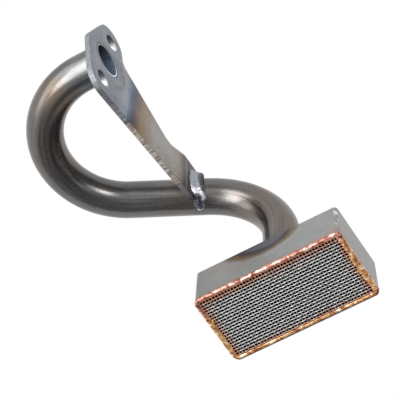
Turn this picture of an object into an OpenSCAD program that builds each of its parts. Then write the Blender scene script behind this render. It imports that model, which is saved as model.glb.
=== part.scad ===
// Oil pump pickup: a bent suction tube welded through a two-bolt flange plate,
// braced by the plate's own arm, with a pressed strainer box and a brazed wire screen.
// The origin is the middle of the flange's mounting face. +X points out of that face,
// +Y runs along the brace and +Z is up, so the screen faces down.

/* [Suction tube] */
// Outside diameter of the tube
tube_od = 19.05; // [17:0.05:21]
// Wall thickness of the tube
tube_wall = 1.25; // [0.8:0.05:2]
// Straight length from the mounting face to the loop
inlet_len = 14.5; // [10:0.5:22]
// Centre-line radius of the loop
loop_r = 41; // [34:1:50]
// Angle that the loop turns through
loop_angle = 152; // [142:1:160]
// Straight length past the plane of the brace's face, before the elbow
run_past = 1.3; // [0.5:0.1:6]
// Centre-line radius of the elbow
elbow_r = 37; // [30:1:46]
// Straight drop from the elbow to the strainer box
drop_len = 25; // [12:0.5:40]

/* [Flange] */
// Thickness of the plate that makes the flange and the brace
plate_t = 3; // [2:0.25:5]
// Radius of the plate round the tube
collar_r = 16.4; // [15:0.1:19]
// Distance between the two bolt holes
hole_spacing = 42; // [39:0.5:50]
// Angle from the brace's direction to the line through the bolt holes
hole_angle = 82.5; // [74:0.5:90]
// Diameter of a bolt hole
hole_d = 8.8; // [6:0.1:10]
// Radius of the rounded lug round a bolt hole
lug_r = 10.5; // [9:0.25:12]
// Radial gap between the tube and the plate
fit_gap = 0.15; // [0.05:0.05:0.4]

/* [Brace arm] */
// How far the end of the brace reaches past the near side of the tube
saddle_depth = 2; // [1:0.25:4]
// Height of the end tab above the tube's axis
tab_top = 12; // [10:0.5:15]
// Depth of the end tab below the tube's axis
tab_bottom = 14.8; // [12:0.2:20]
// Length of the end tab's level top edge
tab_len = 12; // [8:0.5:18]
// Distance along the arm from the end to its narrow waist
waist_back = 27; // [24:0.5:34]
// Height of the waist's upper edge above the tube's axis
waist_top = 3; // [-2:0.5:8]
// Height of the upper edge where the arm leaves the flange
root_top = 20; // [17:0.5:22]
// Radius of the hollow between the upper lug and the arm
root_fillet = 6; // [3:0.5:9]
// Radius of the hollow at the waist
waist_fillet = 12; // [4:1:16]
// Radius of the shoulder of the end tab
shoulder_round = 7; // [3:0.5:9]
// Radius of the end tab's corners
tab_round = 2; // [1:0.25:3]

/* [Strainer box] */
// Length of the box at its open rim
box_len = 81.5; // [70:0.5:95]
// Width of the box at its open rim
box_wid = 42.5; // [36:0.5:50]
// Depth of the pressed shell
box_depth = 25; // [18:0.5:36]
// Thickness of the box's sheet
sheet_t = 1.3; // [1:0.1:1.7]
// How much each wall leans in from the rim to the back
draft = 1; // [0.4:0.1:1.6]
// Corner radius at the rim
corner_r = 3; // [2.75:0.25:6]
// Radius of the pressed edge round the back
edge_r = 2; // [1.9:0.1:2.4]
// Sideways distance from the tube's axis to the middle of the box
tube_offset = 3; // [0:0.25:5]

/* [Wire screen] */
// Distance between neighbouring wires
wire_pitch = 1.8; // [1.4:0.1:2.4]
// Diameter of a wire
wire_d = 0.6; // [0.4:0.05:0.8]
// Number of bays that the cross wires divide the slots into
slot_bays = 5; // [3:1:5]
// Width of the screen's edge that lies on the rim and in the braze
screen_margin = 2.6; // [2:0.1:3.5]
// Distance from the box's outer wall to the edge of the screen
screen_inset = 0.8; // [0.5:0.05:1.1]
// Radius of the braze bead
braze_r = 1.4; // [1.2:0.05:1.7]
// How far the braze stands out from the box's wall
braze_proud = 0.4; // [0.3:0.05:0.9]

/* [Welds] */
// Leg length of the round welds at the flange and at the box
weld_leg = 3.4; // [2:0.1:3.6]
// Number of ripples in the weld at the end of the brace
bead_count = 7; // [5:1:11]
// Radius of one ripple
bead_r = 3.8; // [3:0.1:4.6]
// How far the middle of a ripple stands out from the plate and the tube
bead_lift = 0.75; // [0.5:0.05:1]
// Angle round the tube from the middle of the weld down to its lowest ripple
bead_low_angle = 54; // [45:1:60]
// Angle round the tube from the middle of the weld up to its highest ripple
bead_high_angle = 54; // [45:1:60]

/* [Hidden] */
$fn = 64;
// How far a shape runs past the face that it cuts or joins
over = 1;
// How far the tube's straight lengths run into its bends, and how much wider the bends are
let_in = 0.4;
bend_step = 0.05;
// How far a straight edge lies inside the arc that it touches, so that the two cross cleanly
tuck = 0.002;

tube_r = tube_od / 2;
bore_r = tube_r - tube_wall;

// Centre line of the tube: the loop lies level, and the elbow turns down.
run_angle = 180 - loop_angle;
run_dir = [cos(run_angle), sin(run_angle)];
loop_end = [-inlet_len - loop_r * sin(loop_angle), loop_r * (1 - cos(loop_angle))];
run_len = run_past - loop_end[0] / run_dir[0];
run_end = loop_end + run_len * run_dir;
drop_axis = run_end + elbow_r * run_dir;
box_back = -elbow_r - drop_len;

// The brace lies in the flange's plane, so it meets the run where that crosses X = 0.
run_y = loop_end[1] - loop_end[0] * tan(run_angle);
near_y = run_y - tube_r / run_dir[0];
brace_end = near_y + saddle_depth;
hole_at = hole_spacing / 2 * [cos(hole_angle), sin(hole_angle)];

// Levels of the screen below the box's rim.
rim_z = box_back - box_depth;
screen_t = 2 * wire_d;

function unit(v) = v / norm(v);

// Point where a line from point p touches a circle, on its clockwise side.
function touch(c, r, p) =
    let (way = atan2(p[1] - c[1], p[0] - c[0]), lean = acos(r / norm(p - c)))
    c + r * [cos(way - lean), sin(way - lean)];

// Two circles joined by the straight lines that touch both.
module link(c1, r1, c2, r2) {
    way = atan2(c2[1] - c1[1], c2[0] - c1[0]);
    lean = acos((r1 - r2) / norm(c2 - c1));
    function rim(c, r, a) = c + r * [cos(a), sin(a)];
    translate(c1) circle(r1);
    translate(c2) circle(r2);
    polygon([rim(c1, r1 - tuck, way + lean), rim(c1, r1 - tuck, way - lean),
             rim(c2, r2 - tuck, way - lean), rim(c2, r2 - tuck, way + lean)]);
}

// Closed outline through corners [x, y, radius], listed anticlockwise. A corner of radius 0 is sharp.
module rounded_outline(corners) {
    last = len(corners) - 1;
    function at(i) = let (c = corners[(i + last + 1) % (last + 1)]) [c[0], c[1]];
    function back(i) = unit(at(i - 1) - at(i));
    function ahead(i) = unit(at(i + 1) - at(i));
    function half(i) = acos(back(i) * ahead(i)) / 2;
    function trim(i) = corners[i][2] / tan(half(i));
    function mid(i) = at(i) + unit(back(i) + ahead(i)) * corners[i][2] / sin(half(i));
    function bulges(i) = cross(-back(i), ahead(i)) > 0;
    function ends(i) = corners[i][2] > 0 ? [at(i) + back(i) * trim(i), at(i) + ahead(i) * trim(i)] : [at(i)];
    arcs = [for (i = [0:last]) if (corners[i][2] > 0) i];
    difference() {
        union() {
            polygon([for (i = [0:last]) each ends(i)]);
            for (i = arcs) if (bulges(i)) translate(mid(i)) circle(corners[i][2] + tuck);
        }
        for (i = arcs) if (!bulges(i)) translate(mid(i)) circle(corners[i][2] + tuck);
    }
}

// Straight rod through the flange, and the straight rod that passes the end of the brace.
module inlet_rod(r, extra = 0) {
    translate([extra, 0, 0]) rotate([0, -90, 0]) cylinder(r = r, h = inlet_len + extra + let_in);
}

module run_rod(r, past = let_in) {
    translate([loop_end[0], loop_end[1], 0]) rotate([0, -90, run_angle + 180])
        translate([0, 0, -past]) cylinder(r = r, h = run_len + 2 * past);
}

// Solid rod along the tube's centre line. Its straight lengths are let into the bends, and
// extra lengthens its two open ends. The edges of its circles start in line along the rod.
module tube_rod(r, extra = 0) {
    inlet_rod(r, extra);
    translate([-inlet_len, loop_r, 0]) rotate([0, 0, -90 - loop_angle])
        rotate_extrude(angle = loop_angle) translate([loop_r, 0]) rotate(90) circle(r + bend_step);
    run_rod(r);
    translate([run_end[0], run_end[1], -elbow_r]) rotate([90, 0, run_angle])
        rotate_extrude(angle = 90) translate([elbow_r, 0]) circle(r + bend_step);
    translate([drop_axis[0], drop_axis[1], box_back - sheet_t - extra])
        rotate([0, 0, run_angle]) cylinder(r = r, h = drop_len + sheet_t + extra + let_in);
}

module suction_tube() {
    color("#6f6a66") difference() {
        tube_rod(tube_r);
        tube_rod(bore_r, over);
    }
}

// Flange with its two lugs, seen along the mounting face's axis.
module flange_outline() {
    link([0, 0], collar_r, hole_at, lug_r);
    link([0, 0], collar_r, -hole_at, lug_r);
}

// Tapered arm from the lower lug's edge to the tab that meets the tube.
module arm_outline() {
    low_end = [brace_end, -tab_bottom];
    waist = [brace_end - waist_back, waist_top];
    shoulder = [brace_end - tab_len, tab_top];
    root = [0, root_top];
    slope = unit(waist - root);
    low_start = touch(-hole_at, lug_r - tuck, low_end);
    rounded_outline([[low_start[0], low_start[1], 0], [low_end[0], low_end[1], tab_round],
                     [brace_end, tab_top, tab_round], [shoulder[0], shoulder[1], shoulder_round],
                     [waist[0], waist[1], waist_fillet], [root[0], root[1], 0]]);
    root_hollow(root, slope);
}

// Hollow corner between the upper lug and the arm's upper edge.
module root_hollow(root, slope) {
    up = [-slope[1], slope[0]];
    lug_up = (hole_at - root) * up;
    lug_on = (hole_at - root) * slope;
    mid_on = lug_on + sqrt(pow(lug_r + root_fillet, 2) - pow(lug_up - root_fillet, 2));
    mid = root + mid_on * slope + root_fillet * up;
    difference() {
        polygon([hole_at, root - over * up, root + mid_on * slope - over * up, mid]);
        translate(mid) circle(root_fillet + tuck);
    }
}

module flange_brace() {
    color("#a9a6a4") difference() {
        translate([-plate_t, 0, 0]) rotate([90, 0, 90]) linear_extrude(plate_t) {
            flange_outline();
            arm_outline();
        }
        inlet_rod(tube_r + fit_gap, over);
        run_rod(tube_r + fit_gap);
        for (side = [-1, 1])
            translate([-plate_t - over, side * hole_at[0], side * hole_at[1]])
                rotate([0, 90, 0]) cylinder(d = hole_d, h = plate_t + 2 * over);
    }
}

// Half section of the pressed pan at a corner: it leans in and rounds over at the back.
module pan_section(rim_r, depth, lean, round_r) {
    back_r = rim_r - lean;
    wall_angle = atan(lean / depth);
    reach = round_r * tan((90 - wall_angle) / 2);
    mid = [back_r - reach, depth - round_r];
    meet = mid + round_r * [cos(wall_angle), sin(wall_angle)];
    polygon([[0, 0], [rim_r, 0], meet, mid, [mid[0], depth], [0, depth]]);
    intersection() {
        translate(mid) circle(round_r);
        translate(mid) square(2 * round_r);
    }
}

// Solid pan, rim down at z = 0, with leaning walls, round corners and a round back edge.
module pan(length, width, depth, rim_r, lean, round_r) {
    half_l = length / 2 - rim_r;
    half_w = width / 2 - rim_r;
    for (x = [-half_l, half_l], y = [-half_w, half_w])
        translate([x, y, 0]) rotate_extrude() pan_section(rim_r, depth, lean, round_r);
    for (turn = [0, 180]) {
        rotate([0, 0, turn]) translate([half_l, half_w, 0]) rotate([90, 0, 0])
            linear_extrude(2 * half_w) pan_section(rim_r, depth, lean, round_r);
        rotate([0, 0, turn]) translate([half_l, half_w, 0]) rotate([90, 0, 90])
            mirror([0, 0, 1]) linear_extrude(2 * half_l) pan_section(rim_r, depth, lean, round_r);
    }
    translate([-half_l, -half_w, 0]) cube([2 * half_l, 2 * half_w, depth]);
}

// Puts its children at the middle of the box's rim, with z up.
module at_rim() {
    translate([drop_axis[0], drop_axis[1] + tube_offset, rim_z]) children();
}

module strainer_box() {
    inner_r = corner_r - sheet_t;
    inner_edge = min(edge_r - sheet_t, 0.7 * (inner_r - draft));
    color("#a8a7a8") difference() {
        at_rim() pan(box_len, box_wid, box_depth, corner_r, draft, edge_r);
        at_rim() pan(box_len - 2 * sheet_t, box_wid - 2 * sheet_t, box_depth - sheet_t,
                     inner_r, draft, inner_edge);
        translate([drop_axis[0], drop_axis[1], box_back - sheet_t - over])
            cylinder(r = tube_r + fit_gap, h = sheet_t + 2 * over);
    }
}

// Flat rectangle with round corners, centred.
module rounded_plate(length, width, r) {
    for (x = [-1, 1], y = [-1, 1])
        translate([x * (length / 2 - r), y * (width / 2 - r)]) circle(r);
    square([length - 2 * r, width], center = true);
    square([length, width - 2 * r], center = true);
}

// Wires along the box are ridges at their true pitch, with the open slots between them.
module wire_screen() {
    length = box_len - 2 * screen_inset;
    width = box_wid - 2 * screen_inset;
    open_l = length - 2 * screen_margin;
    open_w = width - 2 * screen_margin;
    rows = floor(open_w / wire_pitch);
    bay = (open_l + wire_d) / slot_bays;
    first_y = -(rows - 1) / 2 * wire_pitch;
    color("#8f9396") at_rim() translate([0, 0, -screen_t]) {
        translate([0, 0, wire_d / 2]) linear_extrude(screen_t - wire_d / 2) difference() {
            rounded_plate(length, width, corner_r - screen_inset);
            for (i = [0:rows - 1], j = [0:slot_bays - 1])
                translate([-open_l / 2 + j * bay, first_y + i * wire_pitch - (wire_pitch - wire_d) / 2])
                    square([bay - wire_d, wire_pitch - wire_d]);
        }
        for (i = [0:rows])
            translate([-open_l / 2, first_y + (i - 0.5) * wire_pitch, wire_d / 2])
                rotate([0, 90, 0]) cylinder(d = wire_d, h = open_l, $fn = 24);
    }
}

// Braze bead all round the rim: it holds the edge of the screen to the box.
module braze_fillet() {
    length = box_len + 2 * (braze_proud - braze_r);
    width = box_wid + 2 * (braze_proud - braze_r);
    turn_r = corner_r + braze_proud - braze_r;
    level = braze_r - braze_proud - screen_t;
    half_l = length / 2 - turn_r;
    half_w = width / 2 - turn_r;
    color("#c07a45") at_rim() difference() {
        translate([0, 0, level]) for (turn = [0, 180]) rotate([0, 0, turn]) {
            translate([half_l, half_w, 0]) rotate_extrude(angle = 90) translate([turn_r, 0]) circle(braze_r);
            translate([-half_l, half_w, 0]) rotate([0, 0, 90])
                rotate_extrude(angle = 90) translate([turn_r, 0]) circle(braze_r);
            translate([-half_l, width / 2, 0]) rotate([0, 90, 0]) cylinder(r = braze_r, h = 2 * half_l);
            translate([length / 2, half_w, 0]) rotate([90, 0, 0]) cylinder(r = braze_r, h = 2 * half_w);
        }
        pan(box_len, box_wid, box_depth, corner_r, draft, edge_r);
        translate([0, 0, -screen_t]) linear_extrude(screen_t)
            rounded_plate(box_len - 2 * screen_inset, box_wid - 2 * screen_inset, corner_r - screen_inset);
    }
}

// Round weld with a slightly full face, between the z = 0 plane and the tube.
module ring_weld() {
    rotate_extrude() translate([tube_r, 0]) intersection() {
        square(weld_leg);
        translate([-weld_leg, -weld_leg]) circle(sqrt(5) * weld_leg);
    }
}

module flange_weld() {
    color("#77716c") translate([-plate_t, 0, 0]) rotate([0, -90, 0]) ring_weld();
}

module box_weld() {
    color("#77716c") translate([drop_axis[0], drop_axis[1], box_back]) ring_weld();
}

// Rippled bead in the corner between the front of the brace's tab and the tube.
module brace_weld() {
    step = (bead_low_angle + bead_high_angle) / (bead_count - 1);
    reach = 2 * (tube_od + bead_r);
    color("#c3c6cc") difference() {
        intersection() {
            for (i = [0:bead_count - 1]) let (a = i * step - bead_low_angle)
                translate([bead_lift, run_y - (tube_r + bead_lift) * cos(a) / run_dir[0], tube_r * sin(a)])
                    rotate([0, 90, 0]) sphere(bead_r);
            translate([0, run_y - reach / 2, -reach / 2]) cube(reach);
        }
        run_rod(tube_r, over);
    }
}

flange_brace();
suction_tube();
strainer_box();
wire_screen();
braze_fillet();
flange_weld();
brace_weld();
box_weld();
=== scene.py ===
import math
import random

import bmesh
import bpy
from mathutils import Matrix, Vector, noise


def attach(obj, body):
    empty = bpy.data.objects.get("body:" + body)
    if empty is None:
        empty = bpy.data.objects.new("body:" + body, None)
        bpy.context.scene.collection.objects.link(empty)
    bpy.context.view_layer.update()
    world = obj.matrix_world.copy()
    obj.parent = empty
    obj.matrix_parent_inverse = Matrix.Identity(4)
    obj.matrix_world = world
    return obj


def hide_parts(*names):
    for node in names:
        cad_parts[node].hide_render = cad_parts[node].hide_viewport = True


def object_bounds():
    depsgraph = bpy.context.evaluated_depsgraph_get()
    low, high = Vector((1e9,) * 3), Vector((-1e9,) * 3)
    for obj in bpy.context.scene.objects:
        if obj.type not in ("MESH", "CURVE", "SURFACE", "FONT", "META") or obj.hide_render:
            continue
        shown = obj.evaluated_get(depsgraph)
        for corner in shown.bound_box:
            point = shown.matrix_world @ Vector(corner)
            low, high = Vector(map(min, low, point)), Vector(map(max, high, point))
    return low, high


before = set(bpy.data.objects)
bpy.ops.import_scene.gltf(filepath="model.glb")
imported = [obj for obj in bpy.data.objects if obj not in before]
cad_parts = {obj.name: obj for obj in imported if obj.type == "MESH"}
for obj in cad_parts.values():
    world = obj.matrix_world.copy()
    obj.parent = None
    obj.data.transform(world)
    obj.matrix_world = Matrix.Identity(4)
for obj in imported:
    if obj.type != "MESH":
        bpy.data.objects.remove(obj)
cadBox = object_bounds()
random.seed(14)
print("frame loaded:", len(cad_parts), "nodes")

mm = 0.001
part = {  # sizes of the part's own solids, in mm and degrees
    "tubeR": 9.525, "boreR": 8.275, "inletLen": 14.5, "loopR": 41.0, "loopAngle": 152.0,
    "runPast": 1.3, "elbowR": 37.0, "dropLen": 25.0, "plateT": 3.0, "sheetT": 1.3,
    "boxLen": 81.5, "boxWid": 42.5, "boxDepth": 25.0, "cornerR": 3.0, "tubeOffset": 3.0,
    "draft": 1.0, "screenT": 1.2, "screenInset": 0.8, "weldLeg": 3.4, "holeAt": (2.741, 20.820),
}
runAngle = math.radians(180 - part["loopAngle"])
loopTurn = math.radians(part["loopAngle"])
runDir = Vector((math.cos(runAngle), math.sin(runAngle), 0))
loopEnd = Vector((-part["inletLen"] - part["loopR"] * math.sin(loopTurn),
                  part["loopR"] * (1 - math.cos(loopTurn)), 0))
runLen = part["runPast"] - loopEnd.x / runDir.x
runEnd = loopEnd + runLen * runDir
dropAxis = runEnd + part["elbowR"] * runDir
boxBack = -part["elbowR"] - part["dropLen"]
rimZ = boxBack - part["boxDepth"]
boxMid = Vector((dropAxis.x, dropAxis.y + part["tubeOffset"], rimZ))
runY = loopEnd.y - loopEnd.x * math.tan(runAngle)  # where the run crosses the plate's face
upward = Vector((0, 0, 1))
joinGap = 0.0005  # vertices closer than this are one, in mm
bareEdge = 1.3  # mm of bare sheet along the far long edge, clear of the cross wires and the braze
noiseRange = (0.3, 0.7)  # where most of a noise's values lie


def tone(r, g, b):  # a colour as a screen shows it, 0 to 255
    def linear(c):
        c = c / 255
        return c / 12.92 if c <= 0.04045 else ((c + 0.055) / 1.055) ** 2.4
    return (linear(r), linear(g), linear(b), 1.0)


def feed(tree, node, inputs):  # links a node's inputs, or sets their values
    for key, value in inputs.items():
        if isinstance(value, bpy.types.NodeSocket):
            tree.links.new(value, node.inputs[key])
        else:
            node.inputs[key].default_value = value


def put(tree, kind, inputs=None, **settings):  # one node with its settings and inputs
    made = tree.nodes.new(kind)
    for key, value in settings.items():
        setattr(made, key, value)
    feed(tree, made, inputs or {})
    return made


def calc(tree, operation, a, b=0.0):
    return put(tree, "ShaderNodeMath", {0: a, 1: b}, operation=operation).outputs[0]


def plus(tree, a, b):
    return calc(tree, "ADD", a, b)


def minus(tree, a, b):
    return calc(tree, "SUBTRACT", a, b)


def times(tree, *values):
    total = values[0]
    for value in values[1:]:
        total = calc(tree, "MULTIPLY", total, value)
    return total


def span(tree, value, low, high, toLow=0.0, toHigh=1.0, kind="SMOOTHSTEP"):  # one range eased on to another
    made = put(tree, "ShaderNodeMapRange", {"Value": value, "From Min": low, "From Max": high,
                                            "To Min": toLow, "To Max": toHigh}, interpolation_type=kind)
    return made.outputs[0]


def slope(tree, value, low, high, toLow=0.0, toHigh=1.0):  # the same by a straight line
    return span(tree, value, low, high, toLow, toHigh, "LINEAR")


def mixTones(tree, factor, a, b):
    return put(tree, "ShaderNodeMix", {0: factor, 6: a, 7: b}, data_type="RGBA").outputs[2]


def shaded(tree, colour, shade):  # a colour made lighter or darker by a value near 1
    return put(tree, "ShaderNodeVectorMath", {0: colour, "Scale": shade}, operation="SCALE").outputs["Vector"]


def ramp(tree, factor, stops):
    made = put(tree, "ShaderNodeValToRGB", {"Fac": factor})
    line = made.color_ramp
    line.elements[0].position, line.elements[0].color = stops[0]
    line.elements[1].position, line.elements[1].color = stops[-1]
    for place, colour in stops[1:-1]:
        line.elements.new(place).color = colour
    return made.outputs["Color"]


def cloud(tree, vector, scale, detail=3.0, rough=0.55):  # soft noise, 0 to 1
    return put(tree, "ShaderNodeTexNoise", {"Vector": vector, "Scale": scale, "Detail": detail,
                                            "Roughness": rough}).outputs["Fac"]


def sway(tree, vector, scale, detail=3.0, rough=0.55):  # the same noise, to either side of 0
    return minus(tree, cloud(tree, vector, scale, detail, rough), 0.5)


def stretched(tree, vector, scale):
    return put(tree, "ShaderNodeMapping", {"Vector": vector, "Scale": scale}).outputs["Vector"]


def axes(tree, vector):  # a vector's X, Y and Z
    return put(tree, "ShaderNodeSeparateXYZ", {0: vector}).outputs


def vectorMath(tree, operation, a, b=(0, 0, 0)):
    return put(tree, "ShaderNodeVectorMath", {0: a, 1: b}, operation=operation).outputs


def lengthOf(tree, vector):
    return vectorMath(tree, "LENGTH", vector)["Value"]


def dotOf(tree, vector, way):
    return vectorMath(tree, "DOT_PRODUCT", vector, way)["Value"]


def fromPoint(tree, vector, point):  # a place measured from a point that is given in mm
    return vectorMath(tree, "SUBTRACT", vector, tuple(c * mm for c in point))["Vector"]


def fromRim(tree, here):  # the height over the box's rim, and the distances from its middle along X and Y
    offset = fromPoint(tree, here, boxMid)
    away = axes(tree, vectorMath(tree, "ABSOLUTE", offset)["Vector"])
    return axes(tree, offset)["Z"], away["X"], away["Y"]


# In the settings below a range is from, to and, where they aren't 0 and 1, the values at those ends.
# A noise is its scale, detail and roughness, and a bump its depth and strength. Shapes are in mm, and
# looks in metres unless a note says otherwise.
effects = {
    "temper": [(0.0, tone(151, 146, 142)), (0.2, tone(141, 128, 110)), (0.38, tone(139, 115, 83)),
               (0.5, tone(115, 87, 63)), (0.6, tone(85, 65, 58)), (0.7, tone(59, 58, 71)),
               (0.79, tone(71, 85, 112)), (0.9, tone(122, 140, 160)), (1.0, tone(146, 148, 154))],
    "temperShows": (0.02, 0.3),
    "grainDetail": 2, "grainFiner": 4.3, "grainCoarse": 0.45, "grainFine": 0.55, "grainShade": (0.86, 1.12),
    "blotchDetail": 5, "blotchRough": 0.62, "blotchRange": (0.42, 0.68),
}


def newGroup(name, inputs, outputs):
    tree = bpy.data.node_groups.new(name, "ShaderNodeTree")
    for label, kind in inputs:
        tree.interface.new_socket(name=label, in_out="INPUT", socket_type="NodeSocket" + kind)
    for label, kind in outputs:
        tree.interface.new_socket(name=label, in_out="OUTPUT", socket_type="NodeSocket" + kind)
    return tree, tree.nodes.new("NodeGroupInput").outputs, tree.nodes.new("NodeGroupOutput").inputs


def makeTemperTint():  # oxide colours of heated steel, from untouched at 0 to burnt silver at 1
    tree, given, result = newGroup("temperTint", [("Heat", "Float")],
                                   [("Colour", "Color"), ("Amount", "Float")])
    tree.links.new(ramp(tree, given["Heat"], effects["temper"]), result["Colour"])
    tree.links.new(span(tree, given["Heat"], *effects["temperShows"]), result["Amount"])
    return tree


def makeSatinGrain():  # fine rolled and blasted grain of sheet and tube
    tree, given, result = newGroup("satinGrain", [("Vector", "Vector"), ("Size", "Float")],
                                   [("Height", "Float"), ("Shade", "Float")])
    fineSize = times(tree, given["Size"], effects["grainFiner"])
    coarse = cloud(tree, given["Vector"], given["Size"], effects["grainDetail"])
    fine = cloud(tree, given["Vector"], fineSize, effects["grainDetail"])
    height = plus(tree, times(tree, coarse, effects["grainCoarse"]), times(tree, fine, effects["grainFine"]))
    tree.links.new(height, result["Height"])
    tree.links.new(slope(tree, height, *noiseRange, *effects["grainShade"]), result["Shade"])
    return tree


def makeBlotches():  # handling marks and thin oil, in patches
    tree, given, result = newGroup("blotches", [("Vector", "Vector"), ("Size", "Float")], [("Mask", "Float")])
    broad = cloud(tree, given["Vector"], given["Size"], effects["blotchDetail"], effects["blotchRough"])
    tree.links.new(span(tree, broad, *effects["blotchRange"]), result["Mask"])
    return tree


temperTint = makeTemperTint()
satinGrain = makeSatinGrain()
blotches = makeBlotches()
print("shared effects made")


def tintOf(tree, heat):
    return put(tree, "ShaderNodeGroup", {"Heat": heat}, node_tree=temperTint).outputs


def grainOf(tree, vector, size):
    return put(tree, "ShaderNodeGroup", {"Vector": vector, "Size": size}, node_tree=satinGrain).outputs


def blotchesOf(tree, vector, size):
    return put(tree, "ShaderNodeGroup", {"Vector": vector, "Size": size}, node_tree=blotches).outputs["Mask"]


def newMaterial(name):
    material = bpy.data.materials.new(name)
    material.use_nodes = True
    tree = material.node_tree
    here = put(tree, "ShaderNodeTexCoord").outputs["Object"]
    return material, tree, tree.nodes["Principled BSDF"], here


def dress(tree, shader, colour, rough, height, bump, metal=1.0):  # joins a finish to its shader
    depth, strength = bump
    relief = put(tree, "ShaderNodeBump", {"Height": height, "Strength": strength, "Distance": depth})
    feed(tree, shader, {"Base Color": colour, "Roughness": rough, "Metallic": metal,
                        "Normal": relief.outputs["Normal"]})


def takeMesh(bm, name):  # a mesh from a bmesh that is done with
    mesh = bpy.data.meshes.new(name)
    bm.to_mesh(mesh)
    bm.free()
    return mesh


def newObject(name, data):
    made = bpy.data.objects.new(name, data)
    bpy.context.collection.objects.link(made)
    return made


def finishPiece(bm, name, materials, replaced, sharpAngle):  # mm in, a riding piece in metres out
    bmesh.ops.remove_doubles(bm, verts=bm.verts, dist=joinGap)
    bmesh.ops.recalc_face_normals(bm, faces=bm.faces)
    bmesh.ops.scale(bm, vec=(mm, mm, mm), verts=bm.verts)
    mesh = takeMesh(bm, name)
    for face in mesh.polygons:
        face.use_smooth = True
    mesh.set_sharp_from_angle(angle=math.radians(sharpAngle))
    for material in materials:
        mesh.materials.append(material)
    piece = newObject(name, mesh)
    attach(piece, "root")
    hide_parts(replaced)
    print(name, len(mesh.polygons), "faces")


def copySolid(node, join):  # a solid's own mesh, in mm and merged
    bm = bmesh.new()
    bm.from_mesh(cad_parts[node].data)
    bmesh.ops.scale(bm, vec=(1 / mm, 1 / mm, 1 / mm), verts=bm.verts)
    bmesh.ops.remove_doubles(bm, verts=bm.verts, dist=join)
    return bm


def closedLoop(bm, places):  # edges from place to place and back to the first
    row = [bm.verts.new(place) for place in places]
    return [bm.edges.new(pair) for pair in zip(row, row[1:] + row[:1])]


def lastEdges(out):
    return [g for g in out["geom_last"] if isinstance(g, bmesh.types.BMEdge)]


def turnTo(way):  # turns Z to that direction
    return way.to_track_quat("Z", "Y").to_matrix().to_4x4()


def clamp(value, low=0, high=1):
    return min(max(value, low), high)


plate = {
    "join": 0.001, "flatAngle": 0.6, "edgeAngle": 40, "bevel": 0.22, "segments": 2, "sharp": 25,
    "flange": tone(128, 136, 145), "flangeEnd": (0.011, 0.019),
    "wave": (70, 2), "wander": 0.006, "slant": 0.1, "tint": (0.0176, 0.0456, 1, 0),
    "mark": tone(108, 111, 116), "markR": 0.0158, "markEdge": (0.0006, 0.0024, 1, 0),
    "markSide": (0.005, 0.011), "markAmount": 0.75,
    "weldWander": 0.002, "weldFrom": (0.06, 0.066), "weldReach": (0.062, 0.082),
    # heat scale towards the weld, with a painted highlight line at 0.71
    "weldTones": [(0.0, tone(148, 143, 137)), (0.3, tone(141, 134, 124)), (0.45, tone(121, 111, 102)),
                  (0.53, tone(92, 80, 74)), (0.6, tone(64, 53, 51)), (0.66, tone(72, 62, 60)),
                  (0.71, tone(112, 107, 103)), (0.75, tone(76, 66, 65)), (0.81, tone(50, 38, 39)),
                  (1.0, tone(62, 55, 58))],
    "grain": 900.0, "smear": 60.0, "smearShade": 0.14,
    "rub": 210.0, "rubAlong": (0.012, 0.02, 0.36, 0.1), "wornAndGlint": tone(140, 133, 128),
    "mottle": (430, 3, 0.65), "mottleShade": (0.35, 0.65, 0.86, 1.14),
    "seam": tone(84, 78, 76), "seamOut": (0.01, 0.01015, 0.85, 0),
    "rimShade": 0.86, "rimRough": 0.2, "rimInset": (0.2, 0.06),  # mm in from the faces
    "streak": (2700, 3, 0.65), "streakWay": (0.06, 1, 1), "streakHeight": 1.6,
    "cut": [(0.38, tone(62, 56, 52)), (0.48, tone(144, 137, 129)), (0.6, tone(240, 232, 219))],
    "cutClean": 0.3, "cutFrom": (0.01, 0.034, 0.25, 0.95), "cutTo": (0.078, 0.085, 1, 0.3), "cutMetal": 0.35,
    "scorch": tone(92, 97, 103), "scorchFrom": (0.07, 0.075, 0, 0.75),
    # the bolt holes' walls, with a painted highlight on one side and painted shade on the other
    "hole": [(0.0, tone(248, 248, 248)), (0.14, tone(206, 208, 212)), (0.3, tone(152, 146, 150)),
             (0.5, tone(108, 106, 110)), (1.0, tone(76, 84, 95))],
    "holeReach": 0.0047, "holeAcross": (0.0044, -0.0009),
    "rough": (0.34, 0.5), "bump": (0.00012, 0.3),
}


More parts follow.
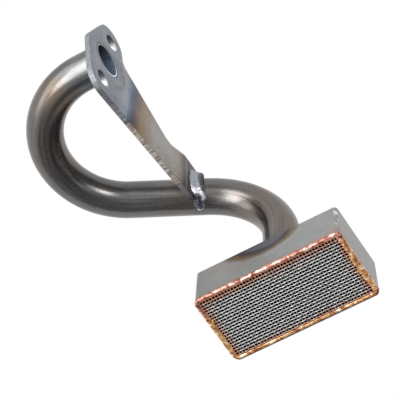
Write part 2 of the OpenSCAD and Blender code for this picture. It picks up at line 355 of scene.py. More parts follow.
def plateSteel():
    material, tree, shader, here = newMaterial("plateSteel")
    where = axes(tree, here)
    wave = sway(tree, here, *plate["wave"])
    along = plus(tree, where["Y"], times(tree, wave, plate["wander"]))
    along = minus(tree, along, times(tree, where["Z"], plate["slant"]))
    tint = tintOf(tree, slope(tree, along, *plate["tint"]))["Colour"]
    colour = mixTones(tree, span(tree, along, *plate["flangeEnd"]), plate["flange"], tint)
    face = stretched(tree, here, (0, 1, 1))
    radius = lengthOf(tree, face)
    mark = span(tree, calc(tree, "ABSOLUTE", minus(tree, radius, plate["markR"])), *plate["markEdge"])
    mark = times(tree, mark, span(tree, where["Y"], *plate["markSide"]), plate["markAmount"])
    colour = mixTones(tree, mark, colour, plate["mark"])  # a ring round the bore, on the arm's side
    nearWeld = plus(tree, where["Y"], times(tree, wave, plate["weldWander"]))
    weldBand = ramp(tree, slope(tree, nearWeld, *plate["weldReach"]), plate["weldTones"])
    colour = mixTones(tree, span(tree, nearWeld, *plate["weldFrom"]), colour, weldBand)
    rub = times(tree, blotchesOf(tree, here, plate["rub"]), span(tree, where["Y"], *plate["rubAlong"]))
    colour = mixTones(tree, rub, colour, plate["wornAndGlint"])
    grain = grainOf(tree, here, plate["grain"])
    smear = times(tree, blotchesOf(tree, here, plate["smear"]), plate["smearShade"])
    colour = shaded(tree, colour, minus(tree, grain["Shade"], smear))
    colour = shaded(tree, colour, slope(tree, cloud(tree, here, *plate["mottle"]), *plate["mottleShade"]))
    colour = mixTones(tree, span(tree, radius, *plate["seamOut"]), colour, plate["seam"])
    depth = calc(tree, "ABSOLUTE", plus(tree, where["X"], part["plateT"] / 2 * mm))
    rimEnds = [(part["plateT"] / 2 - inset) * mm for inset in plate["rimInset"]]
    rim = span(tree, depth, *rimEnds, 1, 0)  # the cut edge, between the two faces
    streak = cloud(tree, stretched(tree, here, plate["streakWay"]), *plate["streak"])
    cut = mixTones(tree, plate["cutClean"], ramp(tree, streak, plate["cut"]), colour)
    cut = mixTones(tree, span(tree, where["Y"], *plate["scorchFrom"]), cut, plate["scorch"])
    colour = shaded(tree, colour, slope(tree, rim, 0, 1, 1, plate["rimShade"]))
    scale = times(tree, rim, span(tree, along, *plate["cutFrom"]), span(tree, where["Y"], *plate["cutTo"]))
    colour = mixTones(tree, scale, colour, cut)  # plainer by the flange and under the weld
    # painted highlight and shade on the bolt holes' walls: white on one side, dark on the other
    for sign in (1, -1):
        y, z = part["holeAt"]
        off = fromPoint(tree, face, (0, sign * y, sign * z))
        wall = ramp(tree, slope(tree, axes(tree, off)["Y"], *plate["holeAcross"]), plate["hole"])
        inHole = calc(tree, "LESS_THAN", lengthOf(tree, off), plate["holeReach"])
        colour = mixTones(tree, inHole, colour, wall)
    height = plus(tree, grain["Height"], times(tree, streak, rim, plate["streakHeight"]))
    rough = plus(tree, slope(tree, grain["Height"], *noiseRange, *plate["rough"]),
                 times(tree, rim, plate["rimRough"]))
    dress(tree, shader, colour, rough, height, plate["bump"], slope(tree, scale, 0, 1, 1, plate["cutMetal"]))
    return material


def makePlate():
    bm = copySolid("flange_brace", plate["join"])
    bmesh.ops.dissolve_limit(bm, angle_limit=math.radians(plate["flatAngle"]), verts=bm.verts, edges=bm.edges)
    least = math.radians(plate["edgeAngle"])
    corners = [e for e in bm.edges if len(e.link_faces) == 2 and e.calc_face_angle() > least]
    bmesh.ops.bevel(bm, geom=corners, offset=plate["bevel"], offset_type="OFFSET", segments=plate["segments"],
                    profile=0.5, affect="EDGES", material=-1, clamp_overlap=True)
    bmesh.ops.triangulate(bm, faces=[f for f in bm.faces if len(f.verts) > 4])
    finishPiece(bm, "flangeAndBrace", [plateSteel()], "flange_brace", plate["sharp"])


tube = {
    "sides": 64, "degreesAStep": 2.0, "inletSteps": 3, "runSteps": 8, "dropSteps": 5,
    "endRound": 0.28, "segments": 2, "sharp": 35,
    "steel": tone(112, 113, 114), "brown": tone(116, 100, 88), "dark": tone(76, 79, 82),
    "drawn": (1, 1, 0.05), "lines": (900, 3, 0.6), "lineShade": (0.78, 1.2), "lineRough": (0.22, 0.3),
    "lineHeight": 0.8, "grain": 700.0, "bump": (0.00005, 0.14),
    "smear": 70.0, "smearDrawn": (1, 1, 0.3), "smearDark": 0.4, "smearRough": 0.08,
    "stain": 22.0, "stainAlong": (0.02, 0.05, 0.05, 0.45), "warmAlong": (0.15, 0.2, 0, 0.36),
    "straw": tone(127, 112, 99), "strawFrom": (0.017, 0.029), "strawTo": (0.03, 0.045, 0.75, 0.1),
    # painted shade on the outer side of the neck
    "outward": (-0.9, 0.43, 0), "neckShadeSide": (0.005, 0.0085),
    "neckShadeFrom": (0.012, 0.02), "neckShadeTo": (0.028, 0.038, 0.6, 0),
    "litSide": (0, 0.867, -0.498), "mouthTo": 0.00004,
    # lip is a painted highlight on the lit side of the tube's end
    "end": tone(126, 128, 132), "lip": tone(196, 206, 214), "lipAcross": (0.001, 0.008),
    # the bore's colour, and the painted shade in it
    "bore": tone(88, 102, 118), "boreReach": 0.0084, "boreShadeAcross": (-0.0075, 0.005, 0.2, 1.15),
    "boreShadeAlong": (0.01, 0.03, 1, 0.03), "boreShade": (1500, 2), "boreShadeRange": (0.35, 0.65, 0.75, 1.25),
}


def tubeSteel():
    material, tree, shader, here = newMaterial("tubeSteel")
    flow = put(tree, "ShaderNodeAttribute", attribute_name="flow").outputs["Vector"]  # follows the bends
    gone = axes(tree, flow)["Z"]
    drawn = stretched(tree, flow, tube["drawn"])
    lines = cloud(tree, drawn, *tube["lines"])
    stain = times(tree, blotchesOf(tree, here, tube["stain"]), span(tree, gone, *tube["stainAlong"]))
    warm = plus(tree, stain, span(tree, gone, *tube["warmAlong"]))  # clean at the neck, browner past the weld
    colour = mixTones(tree, warm, tube["steel"], tube["brown"])
    straw = times(tree, span(tree, gone, *tube["strawFrom"]), span(tree, gone, *tube["strawTo"]))
    colour = mixTones(tree, straw, colour, tube["straw"])  # a heated band on the loop
    outer = span(tree, dotOf(tree, flow, tube["outward"]), *tube["neckShadeSide"])
    sootAndShade = times(tree, outer, span(tree, gone, *tube["neckShadeFrom"]), span(tree, gone, *tube["neckShadeTo"]))
    colour = mixTones(tree, sootAndShade, colour, tube["dark"])  # painted shade on the outside of the neck
    smear = blotchesOf(tree, stretched(tree, flow, tube["smearDrawn"]), tube["smear"])
    colour = mixTones(tree, times(tree, smear, tube["smearDark"]), colour, tube["dark"])
    grain = grainOf(tree, here, tube["grain"])
    lineShade = slope(tree, lines, *noiseRange, *tube["lineShade"])
    colour = shaded(tree, colour, times(tree, grain["Shade"], lineShade))
    across = dotOf(tree, here, tube["litSide"])
    lip = mixTones(tree, span(tree, across, *tube["lipAcross"]), tube["end"], tube["lip"])
    mouth = calc(tree, "LESS_THAN", gone, tube["mouthTo"])
    colour = mixTones(tree, mouth, colour, lip)  # painted highlight on the lit side of the mouth
    boreShade = times(tree, span(tree, across, *tube["boreShadeAcross"]), span(tree, gone, *tube["boreShadeAlong"]),
                 slope(tree, cloud(tree, drawn, *tube["boreShade"]), *tube["boreShadeRange"]))
    inBore = calc(tree, "LESS_THAN", lengthOf(tree, stretched(tree, flow, (1, 1, 0))), tube["boreReach"])
    shadedBore = shaded(tree, tube["bore"][:3], boreShade)  # the bore's own colour with painted shade, lighter on the lit side and darker deeper in
    colour = mixTones(tree, inBore, colour, shadedBore)
    rough = plus(tree, slope(tree, lines, *noiseRange, *tube["lineRough"]),
                 times(tree, smear, tube["smearRough"]))
    height = plus(tree, grain["Height"], times(tree, lines, tube["lineHeight"]))
    dress(tree, shader, colour, rough, height, tube["bump"], minus(tree, 1.0, inBore))
    shader.inputs["Specular IOR Level"].default_value = 0.0
    return material


def makeTube():
    bm = bmesh.new()
    flow = bm.verts.layers.float_vector.new("flow")  # the place in the section, and the way along the tube
    still = Vector()
    inlet = Vector((-part["inletLen"], 0, 0))
    drop = part["dropLen"] + part["sheetT"]
    legs = [  # move, turn centre, turn axis, angle, length, steps
        (inlet, still, upward, 0, part["inletLen"], tube["inletSteps"]),
        (still, Vector((-part["inletLen"], part["loopR"], 0)), upward, -loopTurn,
         part["loopR"] * loopTurn, int(part["loopAngle"] / tube["degreesAStep"])),
        (runDir * runLen, still, upward, 0, runLen, tube["runSteps"]),
        (still, runEnd - Vector((0, 0, part["elbowR"])), Vector((-runDir.y, runDir.x, 0)), math.pi / 2,
         part["elbowR"] * math.pi / 2, int(90 / tube["degreesAStep"])),
        (Vector((0, 0, -drop)), still, upward, 0, drop, tube["dropSteps"]),
    ]
    corners = [bm.verts.new((0, 0, r)) for r in (part["tubeR"], part["boreR"])]
    bmesh.ops.spin(bm, geom=[bm.edges.new(corners)], axis=(1, 0, 0), angle=2 * math.pi, steps=tube["sides"],
                   use_merge=True)
    for v in bm.verts:
        v[flow] = Vector((v.co.y * mm, v.co.z * mm, 0))
    mouth = [e for e in bm.edges if abs(e.verts[0].co.length - e.verts[1].co.length) < joinGap]  # not spokes
    section = bm.verts[:] + bm.edges[:] + bm.faces[:]
    gone = 0.0
    for move, centre, axis, angle, length, steps in legs:
        for step in range(steps):
            section = bmesh.ops.spin(bm, geom=section, cent=centre, axis=axis, dvec=move / steps,
                                     angle=angle / steps, steps=1)["geom_last"]
            gone += length / steps
            for v in section:
                if isinstance(v, bmesh.types.BMVert):
                    v[flow] = Vector((v[flow].x, v[flow].y, gone * mm))
    bmesh.ops.bevel(bm, geom=mouth, offset=tube["endRound"], offset_type="OFFSET", segments=tube["segments"],
                    profile=0.5, affect="EDGES", material=-1, clamp_overlap=True)
    finishPiece(bm, "bentTube", [tubeSteel()], "suction_tube", tube["sharp"])


box = {
    "sliver": 0.01, "sharp": 30, "steel": tone(160, 157, 155),
    "haze": tone(153, 155, 154), "hazeNoise": (34, 3), "hazeRange": (0.38, 0.62),
    "wave": (110, 2), "spread": (0.6, 1.0, 1.0), "tintWander": 0.002, "hotX": -1,  # mm from the tube's axis
    "tint": (0.0186, 0.0222, 0.8, 0), "silver": (0.0125, 0.0165, 0.2, 0), "tintWidth": (0.024, 0.032, 1, 0),
    "sootAndShade": tone(72, 72, 77), "ash": tone(102, 100, 103), "ashFrom": (0.66, 0.79),
    "grimeFrom": (0.3, 0.7, 0.3, 0.85), "grimeTo": (0.82, 0.95, 1, 0.3),
    "grain": 800.0, "smear": 45.0, "smearShade": 0.1,
    "flush": tone(178, 130, 114), "flushWander": 0.007, "flushUp": (0.0006, 0.0036, 0.62, 0),
    # painted glints near the corners
    "glint": tone(238, 240, 242), "cornerX": (0.0382, 0.04), "cornerY": (0.0187, 0.0205),
    "glintNoise": (330, 2), "glintRange": (0.5, 0.62), "glintUp": (0.006, 0.012),
    # painted shade inside the pan
    "inside": tone(12, 12, 13), "rough": (0.36, 0.52), "bump": (0.0001, 0.3),
}


def boxSteel():
    material, tree, shader, here = newMaterial("boxSteel")
    wave = sway(tree, here, *box["wave"])
    fromTube = fromPoint(tree, here, (dropAxis.x + box["hotX"], dropAxis.y, boxBack))
    reach = lengthOf(tree, stretched(tree, fromTube, box["spread"]))
    reach = plus(tree, reach, times(tree, wave, box["tintWander"]))
    heat = plus(tree, slope(tree, reach, *box["tint"]), span(tree, reach, *box["silver"]))
    tint = tintOf(tree, heat)
    grime = mixTones(tree, span(tree, heat, *box["ashFrom"]), box["sootAndShade"], box["ash"])
    cover = times(tree, span(tree, heat, *box["grimeFrom"]), span(tree, heat, *box["grimeTo"]))
    tinted = mixTones(tree, cover, tint["Colour"], grime)
    across = calc(tree, "ABSOLUTE", axes(tree, fromTube)["X"])
    amount = times(tree, tint["Amount"], span(tree, across, *box["tintWidth"]))
    hazy = span(tree, cloud(tree, here, *box["hazeNoise"]), *box["hazeRange"])
    colour = mixTones(tree, amount, mixTones(tree, hazy, box["steel"], box["haze"]), tinted)
    grain = grainOf(tree, here, box["grain"])
    smear = times(tree, blotchesOf(tree, here, box["smear"]), box["smearShade"])
    colour = shaded(tree, colour, minus(tree, grain["Shade"], smear))
    level, awayX, awayY = fromRim(tree, here)
    edge = plus(tree, level, times(tree, wave, box["flushWander"]))  # braze run on to the walls
    colour = mixTones(tree, span(tree, edge, *box["flushUp"]), colour, box["flush"])
    lean = times(tree, level, part["draft"] / part["boxDepth"])
    outX, outY = plus(tree, awayX, lean), plus(tree, awayY, lean)
    wornAndGlint = times(tree, span(tree, outX, *box["cornerX"]), span(tree, outY, *box["cornerY"]),
                 span(tree, cloud(tree, here, *box["glintNoise"]), *box["glintRange"]),
                 span(tree, level, *box["glintUp"]))
    colour = mixTones(tree, wornAndGlint, colour, box["glint"])  # painted glints on the corners
    squares = []
    for out, size in ((outX, "boxLen"), (outY, "boxWid")):  # past the centres of the corners
        past = calc(tree, "MAXIMUM", minus(tree, out, (part[size] / 2 - part["cornerR"]) * mm), 0.0)
        squares.append(calc(tree, "POWER", past, 2.0))
    bend = calc(tree, "SQRT", plus(tree, *squares))
    skin = part["sheetT"] / 2
    within = times(tree, calc(tree, "LESS_THAN", bend, (part["cornerR"] - skin) * mm),
                   calc(tree, "LESS_THAN", level, (part["boxDepth"] - skin) * mm))
    colour = mixTones(tree, within, colour, box["inside"])  # painted shade, dark and dull inside the pan
    rough = slope(tree, grain["Height"], *noiseRange, *box["rough"])
    dress(tree, shader, colour, rough, grain["Height"], box["bump"], minus(tree, 1.0, within))
    shader.inputs["Specular IOR Level"].default_value = 0.0
    return material


def makeBox():
    bm = copySolid("strainer_box", joinGap)
    bmesh.ops.dissolve_degenerate(bm, dist=box["sliver"], edges=bm.edges)
    finishPiece(bm, "strainerPan", [boxSteel()], "strainer_box", box["sharp"])


weave = {
    "pitchX": 1.75, "pitchY": 1.766, "wireR": 0.17, "rise": 0.16, "stray": 0.05,
    "endGap": 0.15, "edgeGap": 0.4, "sides": 6, "stepsAPitch": 4, "leastSteps": 4, "sharp": 60,
    "longPhase": 0.5, "crossPhase": 1.5,
    # painted light and shade: the long wires near white as lit, the cross wires darker as shaded
    "long": tone(252, 252, 252), "cross": tone(150, 149, 148), "copper": tone(206, 138, 100),
    "wave": (320, 3), "wander": 0.006, "copperX": (0.0335, 0.0395), "copperY": (0.0138, 0.02),
    "patch": 260.0, "patchShade": (1.05, 0.85), "patchRough": (0.24, 0.36),
    "pitsAndShade": (4000, 2), "bump": (0.00003, 0.2), "metal": 0.15,
}


def wireSteel(name, bright):
    material, tree, shader, here = newMaterial(name)
    awayX, awayY = fromRim(tree, here)[1:]
    wave = times(tree, sway(tree, here, *weave["wave"]), weave["wander"])
    copper = calc(tree, "MAXIMUM", span(tree, plus(tree, awayX, wave), *weave["copperX"]),
                  span(tree, plus(tree, awayY, wave), *weave["copperY"]))
    colour = mixTones(tree, copper, bright, weave["copper"])
    patch = blotchesOf(tree, here, weave["patch"])
    colour = shaded(tree, colour, slope(tree, patch, 0, 1, *weave["patchShade"]))
    rough = slope(tree, patch, 0, 1, *weave["patchRough"])
    dress(tree, shader, colour, rough, cloud(tree, here, *weave["pitsAndShade"]), weave["bump"], weave["metal"])
    return material


def addWire(bm, start, way, length, pitch, phase, finish):  # one crimped wire, over and under its neighbours
    steps = max(int(length / pitch * weave["stepsAPitch"]), weave["leastSteps"])
    wire = bmesh.new()
    ring = bmesh.ops.create_circle(wire, cap_ends=True, segments=weave["sides"], radius=weave["wireR"],
                                   matrix=Matrix.Translation(start) @ turnTo(way))["verts"]
    edges = list({e for v in ring for e in v.link_edges})
    out = bmesh.ops.spin(wire, geom=edges, axis=upward, dvec=way * (length / steps), angle=0, steps=steps)
    bmesh.ops.edgeloop_fill(wire, edges=lastEdges(out))
    for v in wire.verts:
        v.co.z += weave["rise"] * math.sin(math.pi * ((v.co - boxMid).dot(way) / pitch + phase))
    for face in wire.faces:
        face.material_index = finish
    draft = takeMesh(wire, "wireDraft")
    bm.from_mesh(draft)
    bpy.data.meshes.remove(draft)


def makeScreen():
    bm = bmesh.new()
    halfL = part["boxLen"] / 2 - part["screenInset"]
    halfW = part["boxWid"] / 2 - part["screenInset"]
    turnR = part["cornerR"] - part["screenInset"]
    level = rimZ - part["screenT"] / 2

    def shortened(half, away, other):  # half length of a wire that ends inside the round corners
        past = max(away - (other - turnR), 0)
        return half - weave["endGap"] - (turnR - math.sqrt(max(turnR ** 2 - past ** 2, 0)))

    rows = int((halfW - weave["edgeGap"]) / weave["pitchY"])
    columns = int((halfL - weave["edgeGap"]) / weave["pitchX"])
    for i in range(-rows, rows):  # no wire along the bare far edge
        y = i * weave["pitchY"] + random.uniform(-1, 1) * weave["stray"]
        half = shortened(halfL, abs(y), halfW)
        addWire(bm, Vector((boxMid.x - half, boxMid.y + y, level)), Vector((1, 0, 0)), 2 * half,
                weave["pitchX"], weave["longPhase"] + i % 2, 0)
    for i in range(-columns, columns + 1):
        x = i * weave["pitchX"] + random.uniform(-1, 1) * weave["stray"]
        half = shortened(halfW, abs(x), halfL)
        addWire(bm, Vector((boxMid.x + x, boxMid.y - half, level)), Vector((0, 1, 0)), 2 * half - bareEdge,
                weave["pitchY"], weave["crossPhase"] + i % 2, 1)
    # lit and shaded copies of one wire steel
    wires = [wireSteel("wireSteel", weave["long"]), wireSteel("crossWireSteel", weave["cross"])]
    finishPiece(bm, "wovenScreen", wires, "wire_screen", weave["sharp"])


braze = {
    "section": [(0.03, 0.72), (0.16, 0.4), (0.22, 0.0), (0.16, -0.5), (-0.1, -0.95), (-0.5, -1.14),
                (-0.95, -1.08), (-1.35, -0.92), (-1.65, -0.66), (-1.7, -0.4), (-1.2, -0.15), (-0.8, 0.1),
                (-0.35, 0.3), (-0.2, 0.6)],  # outward and up from the rim's edge, mm
    "step": 0.45, "cornerSteps": 14, "join": 0.01, "proud": 0.39, "deep": 1.59, "sharp": 70,
    "lump": 0.3, "lumpSize": 0.8, "fineLump": 0.5, "fineTimes": 2.3,
    "creep": 0.9, "creepSize": 0.35, "creepLayer": 7, "widenLeft": 1.0, "widenRight": 1.2,
    "endReach": 4, "endEase": 2, "farReach": 3, "farEase": 1.5,
    # the palest stops of both ramps are painted highlights
    "red": [(0.38, tone(112, 58, 48)), (0.47, tone(162, 98, 82)), (0.56, tone(204, 152, 136)),
            (0.65, tone(250, 238, 230))],
    "gold": [(0.38, tone(138, 84, 46)), (0.47, tone(204, 140, 82)), (0.55, tone(232, 182, 128)),
             (0.64, tone(255, 244, 226))],
    "run": (330, 4, 0.65), "drift": (90, 2), "driftBy": 0.034, "slant": 0.06, "goldFrom": (0.1, 0.106),
    "speck": (1300, 3, 0.6), "speckShade": (0.78, 1.15), "speckRough": (0.26, 0.44),
    "bump": (0.0002, 0.35), "metal": 0.5,
}


def brazeMetal():
    material, tree, shader, here = newMaterial("brazeMetal")
    where = axes(tree, here)
    run = cloud(tree, here, *braze["run"])
    drift = times(tree, sway(tree, here, *braze["drift"]), braze["driftBy"])
    side = plus(tree, plus(tree, where["Y"], drift), times(tree, where["X"], braze["slant"]))
    colour = mixTones(tree, span(tree, side, *braze["goldFrom"]), ramp(tree, run, braze["red"]),
                      ramp(tree, run, braze["gold"]))  # redder on the tube's side
    speck = cloud(tree, here, *braze["speck"])
    colour = shaded(tree, colour, slope(tree, speck, *noiseRange, *braze["speckShade"]))
    rough = slope(tree, speck, *noiseRange, *braze["speckRough"])
    dress(tree, shader, colour, rough, speck, braze["bump"], braze["metal"])
    return material


def makeBraze():
    bm = bmesh.new()
    halfL, halfW = part["boxLen"] / 2, part["boxWid"] / 2
    straightL, straightW = halfL - part["cornerR"], halfW - part["cornerR"]
    start = Vector((boxMid.x + halfL, boxMid.y - straightW, rimZ))
    edges = closedLoop(bm, [start + Vector((out, 0, up)) for out, up in braze["section"]])
    sides = [(1, 1, Vector((0, 1, 0)), 2 * straightW), (-1, 1, Vector((-1, 0, 0)), 2 * straightL),
             (-1, -1, Vector((0, -1, 0)), 2 * straightW), (1, -1, Vector((1, 0, 0)), 2 * straightL)]
    for signX, signY, way, length in sides:  # along each side, then round the corner at its end
        steps = int(length / braze["step"])
        edges = lastEdges(bmesh.ops.spin(bm, geom=edges, axis=upward, dvec=way * (length / steps), angle=0,
                                         steps=steps))
        corner = Vector((boxMid.x + signX * straightL, boxMid.y + signY * straightW, rimZ))
        edges = lastEdges(bmesh.ops.spin(bm, geom=edges, cent=corner, axis=upward, angle=math.pi / 2,
                                         steps=braze["cornerSteps"]))
    bmesh.ops.remove_doubles(bm, verts=bm.verts, dist=braze["join"])
    bmesh.ops.recalc_face_normals(bm, faces=bm.faces)
    bm.normal_update()
    moves = []
    for v in bm.verts:
        spot = v.co * braze["lumpSize"]
        lump = noise.noise(spot) + braze["fineLump"] * noise.noise(spot * braze["fineTimes"])
        level = Vector((v.co.x, v.co.y, braze["creepLayer"]))
        creep = braze["creep"] * noise.noise(level * braze["creepSize"])
        inward = Vector((boxMid.x - v.co.x, boxMid.y - v.co.y, 0)).normalized()
        widen = braze["widenRight"] if v.co.x > boxMid.x else braze["widenLeft"]  # along the short edges
        creep += widen * clamp((abs(v.co.x - boxMid.x) - halfL + braze["endReach"]) / braze["endEase"])
        moves.append(v.normal * lump * braze["lump"] + inward * max(v.normal.dot(inward), 0) * creep)
    limitX, limitY = halfL + braze["proud"], halfW + braze["proud"]
    for v, move in zip(bm.verts, moves):
        v.co += move
        far = (v.co.y - boxMid.y - halfW + braze["farReach"]) / braze["farEase"]
        v.co.y -= bareEdge * clamp(far)  # stands back from the far long edge
        v.co.x = clamp(v.co.x, boxMid.x - limitX, boxMid.x + limitX)
        v.co.y = clamp(v.co.y, boxMid.y - limitY, boxMid.y + limitY)
        v.co.z = max(v.co.z, rimZ - braze["deep"])
    finishPiece(bm, "brazeBead", [brazeMetal()], "braze_fillet", braze["sharp"])


ringWeld = {
    "shy": 0.2, "sunk": 0.1, "free": 0.05,
    "face": [(0.86, 0.42), (0.66, 0.7), (0.36, 0.9)],  # outward and up, as shares of the leg
    "steps": 264, "ripples": 44, "ripple": 0.16, "middle": 0.64, "bow": 0.35, "sharp": 50,
    "wander": 0.12, "wanderSize": 0.35,
    "bright": tone(150, 148, 150), "burnt": tone(84, 74, 72), "burntRange": (0.45, 0.62, 0, 0.7),
    "run": (260, 4, 0.6), "runRough": (0.35, 0.65, 0.16, 0.36),
    "speck": (1100, 3, 0.6), "speckShade": (0.85, 1.1), "bump": (0.00015, 0.3),
}


def ringWeldMetal():
    material, tree, shader, here = newMaterial("ringWeldMetal")
    run = cloud(tree, here, *ringWeld["run"])
    colour = mixTones(tree, span(tree, run, *ringWeld["burntRange"]), ringWeld["bright"], ringWeld["burnt"])
    speck = cloud(tree, here, *ringWeld["speck"])
    colour = shaded(tree, colour, slope(tree, speck, *noiseRange, *ringWeld["speckShade"]))
    dress(tree, shader, colour, slope(tree, run, *ringWeld["runRough"]), speck, ringWeld["bump"])
    return material


def makeRingWeld(name, base, way, replaced, material):  # full-face round weld with even ripples
    bm = bmesh.new()
    leg, sunk, r = part["weldLeg"] - ringWeld["shy"], ringWeld["sunk"], part["tubeR"]
    section = [(0.0, -sunk), (leg, 0.0)]
    section += [(leg * out, leg * lift) for out, lift in ringWeld["face"]]
    section += [(0.0, leg), (-sunk, leg * 0.5)]
    edges = closedLoop(bm, [(r + out, 0, lift) for out, lift in section])
    bmesh.ops.spin(bm, geom=edges, axis=upward, angle=2 * math.pi, steps=ringWeld["steps"], use_merge=True)
    for v in bm.verts:
        angle = math.atan2(v.co.y, v.co.x)
        out, lift = math.hypot(v.co.x, v.co.y) - r, v.co.z
        if min(out, lift) > ringWeld["free"]:  # the free face alone is rippled
            lean = (out - lift) * ringWeld["bow"]  # ripples bow along the bead
            beat = abs(math.sin(angle * ringWeld["ripples"] / 2 + lean)) - ringWeld["middle"]
            wander = noise.noise(v.co * ringWeld["wanderSize"])
            size = 1 + (ringWeld["ripple"] * beat + ringWeld["wander"] * wander) / leg
            flat = (r + out * size) / (r + out)
            v.co = Vector((v.co.x * flat, v.co.y * flat, lift * size))
    bmesh.ops.transform(bm, matrix=Matrix.Translation(base) @ turnTo(way), verts=bm.verts)
    finishPiece(bm, name, [material], replaced, ringWeld["sharp"])


tabWeld = {
    "pool": [((0.1, 82.6, 3.0), (1.5, 3.0, 4.2)), ((0.2, 82.2, -2.0), (1.8, 3.2, 4.6)),
             ((0.2, 82.8, -6.5), (1.8, 3.2, 3.6)), ((0.1, 84.0, -9.6), (2.0, 3.2, 2.6))],  # place, half sizes
    "drips": [((0.2, 86.2, -11.4), (2.6, 3.2, 2.6)), ((-0.8, 89.2, -11.2), (2.8, 3.2, 2.9)),
              ((-1.6, 91.6, -11.0), (2.6, 2.8, 2.4)), ((1.6, 88.6, -9.0), (2.4, 2.6, 2.4))],  # the low corner
    "bead": [(-50, 1.2, 0.5, 3.0), (-39, 1.6, 0.7, 3.4), (-27, 1.6, 0.8, 3.3), (-14, 1.5, 0.8, 3.3),
             (-1, 1.4, 0.7, 3.2), (12, 1.2, 0.6, 3.1), (25, 1.0, 0.5, 2.9), (38, 0.8, 0.4, 2.7),
             (50, 0.6, 0.3, 2.2), (24, 3.2, 0.0, 1.9), (8, 3.6, 0.0, 2.0),
             (-8, 3.5, 0.0, 1.9)],  # angle round the tube, X, height over the tube, half size
    "beadShape": (0.9, 1, 0.7), "subdivisions": 4, "voxel": 0.22, "easeBy": 0.5, "easeTimes": 10,
    "ripple": 0.2, "rippleSize": 0.5, "backX": -2.9, "sharp": 50,
    # glint is a painted highlight band lower on the pool
    "pale": tone(162, 166, 172), "glint": tone(248, 249, 252), "glintDown": (-0.008, -0.01),
    "scale": tone(88, 92, 102), "scaleDown": (-0.0116, -0.013), "scaleOut": (0.0028, 0.0042, 0, 0.9),
    # black specks of painted shade among the dark scale
    "pitShade": tone(30, 31, 36), "pitsAndShade": (520, 3), "pitShadeRange": (0.54, 0.62),
    "run": (260, 4, 0.6), "wander": 0.009, "roughDown": (-0.0075, -0.01, 0.55, 0.24),
    "speck": (1100, 3, 0.6), "speckShade": (0.88, 1.08), "dimples": (420, 2), "dimpleHeight": 2.0,
    "bump": (0.0003, 0.5), "metal": 0.5,
}


def tabWeldMetal():  # a pale pool above, a painted glint band below it, dark scale at the low end with specks of painted shade
    material, tree, shader, here = newMaterial("tabWeldMetal")
    where = axes(tree, here)
    run = times(tree, sway(tree, here, *tabWeld["run"]), tabWeld["wander"])
    level = plus(tree, where["Z"], run)
    # a painted glint band below the pool
    colour = mixTones(tree, span(tree, level, *tabWeld["glintDown"]), tabWeld["pale"], tabWeld["glint"])
    pitShaded = span(tree, cloud(tree, here, *tabWeld["pitsAndShade"]), *tabWeld["pitShadeRange"])
    burnt = calc(tree, "MAXIMUM", span(tree, level, *tabWeld["scaleDown"]),
                 span(tree, where["X"], *tabWeld["scaleOut"]))
    colour = mixTones(tree, burnt, colour, mixTones(tree, pitShaded, tabWeld["scale"], tabWeld["pitShade"]))
    speck = cloud(tree, here, *tabWeld["speck"])
    colour = shaded(tree, colour, slope(tree, speck, *noiseRange, *tabWeld["speckShade"]))
    height = plus(tree, speck, times(tree, cloud(tree, here, *tabWeld["dimples"]), tabWeld["dimpleHeight"]))
    rough = span(tree, level, *tabWeld["roughDown"])
    dress(tree, shader, colour, rough, height, tabWeld["bump"], tabWeld["metal"])
    return material


def makeTabWeld():  # lumps melted into one bead
    bm = bmesh.new()
    lumps = []
    for degrees, ahead, gap, size in tabWeld["bead"]:
        angle = math.radians(degrees)
        r = part["tubeR"] + gap
        spot = Vector((ahead, runY - r * math.cos(angle) / runDir.x, r * math.sin(angle)))
        halves = [size * share for share in tabWeld["beadShape"]]
        turned = Matrix.Translation(spot) @ Matrix.Rotation(-angle, 4, "X")
        lumps.append(turned @ Matrix.Diagonal((*halves, 1)))
    for spot, halves in tabWeld["pool"] + tabWeld["drips"]:
        lumps.append(Matrix.Translation(spot) @ Matrix.Diagonal((*halves, 1)))
    for lump in lumps:
        bmesh.ops.create_icosphere(bm, subdivisions=tabWeld["subdivisions"], radius=1.0, matrix=lump)
    draft = takeMesh(bm, "weldDraft")
    holder = newObject("weldDraft", draft)
    melt = holder.modifiers.new("melt", "REMESH")
    melt.mode = "VOXEL"
    melt.voxel_size = tabWeld["voxel"]
    ease = holder.modifiers.new("ease", "SMOOTH")
    ease.factor = tabWeld["easeBy"]
    ease.iterations = tabWeld["easeTimes"]
    melted = bpy.data.meshes.new_from_object(holder.evaluated_get(bpy.context.evaluated_depsgraph_get()))
    bm = bmesh.new()
    bm.from_mesh(melted)
    bpy.data.objects.remove(holder)
    for spare in (draft, melted):
        bpy.data.meshes.remove(spare)
    for v in bm.verts:
        v.co += v.normal * tabWeld["ripple"] * noise.noise(v.co * tabWeld["rippleSize"])
    bmesh.ops.bisect_plane(bm, geom=bm.verts[:] + bm.edges[:] + bm.faces[:], clear_outer=True,
                           plane_co=(tabWeld["backX"], 0, 0), plane_no=(-1, 0, 0))  # not behind the plate
    bmesh.ops.holes_fill(bm, edges=[e for e in bm.edges if e.is_boundary])
    finishPiece(bm, "tabWeldBead", [tabWeldMetal()], "brace_weld", tabWeld["sharp"])


makePlate()
makeTube()
makeBox()
makeScreen()
makeBraze()
ringMetal = ringWeldMetal()
flangeBack = Vector((-part["plateT"], 0, 0))
boxTop = Vector((dropAxis.x, dropAxis.y, boxBack))
makeRingWeld("flangeWeldBead", flangeBack, Vector((-1, 0, 0)), "flange_weld", ringMetal)
makeRingWeld("boxWeldBead", boxTop, upward, "box_weld", ringMetal)
makeTabWeld()
print("pieces made")

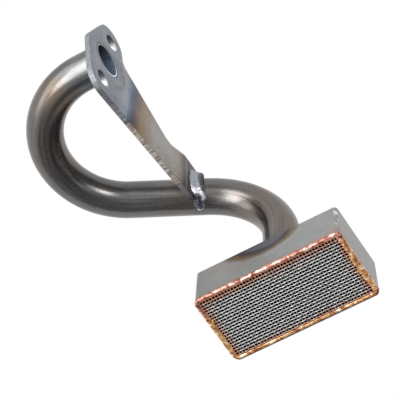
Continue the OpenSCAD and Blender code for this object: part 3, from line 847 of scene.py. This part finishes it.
studio = {
    "framePx": 400, "focalPx": 2580.0, "sensor": 36.0, "clipFrom": 0.05, "clipTo": 60.0,
    "eye": (0.38092, -0.53881, -1.10222), "right": (0.85787, 0.51385, 0.00346),
    "down": (-0.42467, 0.71275, -0.55825),
    "fill": (0.8, 0.8, 0.8, 1), "fillPower": 0.8, "white": (1, 1, 1, 1),
    "floorZ": -1.9, "floorHalf": 9.0, "floorCells": 8, "floorNoise": 3, "floorRough": 0.8,
    "floorTones": [(0.3, tone(250, 250, 250)), (0.7, tone(255, 255, 255))],
    "lamps": {  # degrees to the camera's right and up, distance, width, height, power
        "mainSoftbox": (-46, 18, 0.8, 0.38, 1.1, 8.4),
        "leftSoftbox": (-78, 12, 0.9, 0.32, 1.1, 1.9),
        "bendSoftbox": (28, 26, 0.8, 0.26, 0.3, 2.5),
    },
    "boards": {  # the same, with a grey from 0 to 255 in place of the power
        "frontBoard": (6, -19, 0.74, 0.62, 0.74, 150),
        "lowBoard": (-12, -66, 0.8, 1.3, 0.56, 140),
        "rightBoard": (72, 10, 0.84, 0.9, 1.7, 80),
        "rightLowBoard": (85, -50, 0.72, 1.7, 0.58, 70),
        "upBoard": (25, 69, 0.76, 1.1, 0.4, 160),
    },
    "boardNoise": 9, "boardSpread": 5, "boardRough": 0.9,
}


def makeCamera():
    lens = bpy.data.cameras.new("photoCamera")
    lens.sensor_fit = "HORIZONTAL"
    lens.sensor_width = studio["sensor"]
    lens.lens = studio["focalPx"] * studio["sensor"] / studio["framePx"]
    lens.clip_start = studio["clipFrom"]
    lens.clip_end = studio["clipTo"]
    camera = newObject("photoCamera", lens)
    right, down = Vector(studio["right"]).normalized(), Vector(studio["down"]).normalized()
    ahead = right.cross(down).normalized()
    turn = Matrix((right, -down, -ahead)).transposed().to_4x4()
    camera.matrix_world = Matrix.Translation(studio["eye"]) @ turn
    bpy.context.scene.camera = camera
    return right, -down, -ahead


def seenRays(tree):  # 1 for what is looked at, straight or in the metal
    ray = put(tree, "ShaderNodeLightPath").outputs
    mirrored = calc(tree, "MAXIMUM", ray["Is Glossy Ray"], ray["Is Transmission Ray"])
    return calc(tree, "MAXIMUM", ray["Is Camera Ray"], mirrored)


def makeWorld():  # white behind the part, soft grey light on it
    world = bpy.data.worlds.new("whiteStudio")
    world.use_nodes = True
    bpy.context.scene.world = world
    tree = world.node_tree
    tree.nodes.clear()
    light = put(tree, "ShaderNodeBackground", {"Color": studio["fill"], "Strength": studio["fillPower"]})
    white = put(tree, "ShaderNodeBackground", {"Color": studio["white"], "Strength": 1.0})
    mixed = put(tree, "ShaderNodeMixShader", {0: seenRays(tree), 1: light.outputs[0], 2: white.outputs[0]})
    put(tree, "ShaderNodeOutputWorld", {"Surface": mixed.outputs[0]})


def makeFloor():  # plain and pale, white to the eye and in the metal
    material, tree, shader, here = newMaterial("paleFloor")
    pale = ramp(tree, cloud(tree, here, studio["floorNoise"]), studio["floorTones"])
    feed(tree, shader, {"Base Color": pale, "Roughness": studio["floorRough"]})
    glow = put(tree, "ShaderNodeEmission", {"Color": pale, "Strength": 1.0})
    mixed = put(tree, "ShaderNodeMixShader", {0: seenRays(tree), 1: shader.outputs[0], 2: glow.outputs[0]})
    tree.links.new(mixed.outputs[0], tree.nodes["Material Output"].inputs["Surface"])
    bm = bmesh.new()
    bmesh.ops.create_grid(bm, x_segments=studio["floorCells"], y_segments=studio["floorCells"],
                          size=studio["floorHalf"], matrix=Matrix.Translation((0, 0, studio["floorZ"])))
    mesh = takeMesh(bm, "paleFloor")
    mesh.materials.append(material)
    floor = newObject("paleFloor", mesh)


def aimed(across, above, away):  # a place round the part that looks at its middle, upright in the picture
    a, b = math.radians(across), math.radians(above)
    toward = right * math.sin(a) * math.cos(b) + up * math.sin(b) + back * math.cos(a) * math.cos(b)
    toward.normalize()
    side = up.cross(toward).normalized()
    turn = Matrix((side, toward.cross(side), toward)).transposed()
    return (cadBox[0] + cadBox[1]) / 2 + toward * away, turn


def makeLamp(name, across, above, away, width, height, power):  # a softbox
    lamp = bpy.data.lights.new(name, "AREA")
    lamp.shape = "RECTANGLE"
    lamp.size = width
    lamp.size_y = height
    lamp.energy = power
    holder = newObject(name, lamp)
    place, turn = aimed(across, above, away)
    holder.location = place
    holder.rotation_mode = "QUATERNION"
    holder.rotation_quaternion = turn.to_quaternion()


def boardPaint(name, shade):
    material, tree, shader, here = newMaterial(name)
    greys = (shade - studio["boardSpread"], shade + studio["boardSpread"])
    stops = [(stop, tone(grey, grey, grey + 1)) for stop, grey in zip(noiseRange, greys)]  # a little blue
    paint = ramp(tree, cloud(tree, here, studio["boardNoise"]), stops)
    feed(tree, shader, {"Base Color": paint, "Roughness": studio["boardRough"]})
    return material


def makeBoard(name, across, above, away, width, height, shade):  # only the metal's reflections show it
    bm = bmesh.new()
    place, turn = aimed(across, above, away)
    shape = Matrix.Translation(place) @ turn.to_4x4() @ Matrix.Diagonal((width, height, 1, 1))
    bmesh.ops.create_grid(bm, x_segments=2, y_segments=2, size=0.5, matrix=shape)
    mesh = takeMesh(bm, name)
    mesh.materials.append(boardPaint(name, shade))
    card = newObject(name, mesh)
    card.visible_camera = card.visible_shadow = card.visible_diffuse = False


right, up, back = makeCamera()
makeWorld()
makeFloor()
for lampName, settings in studio["lamps"].items():
    makeLamp(lampName, *settings)
for boardName, settings in studio["boards"].items():
    makeBoard(boardName, *settings)
bpy.context.scene.view_settings.view_transform = "Standard"
print("studio made")
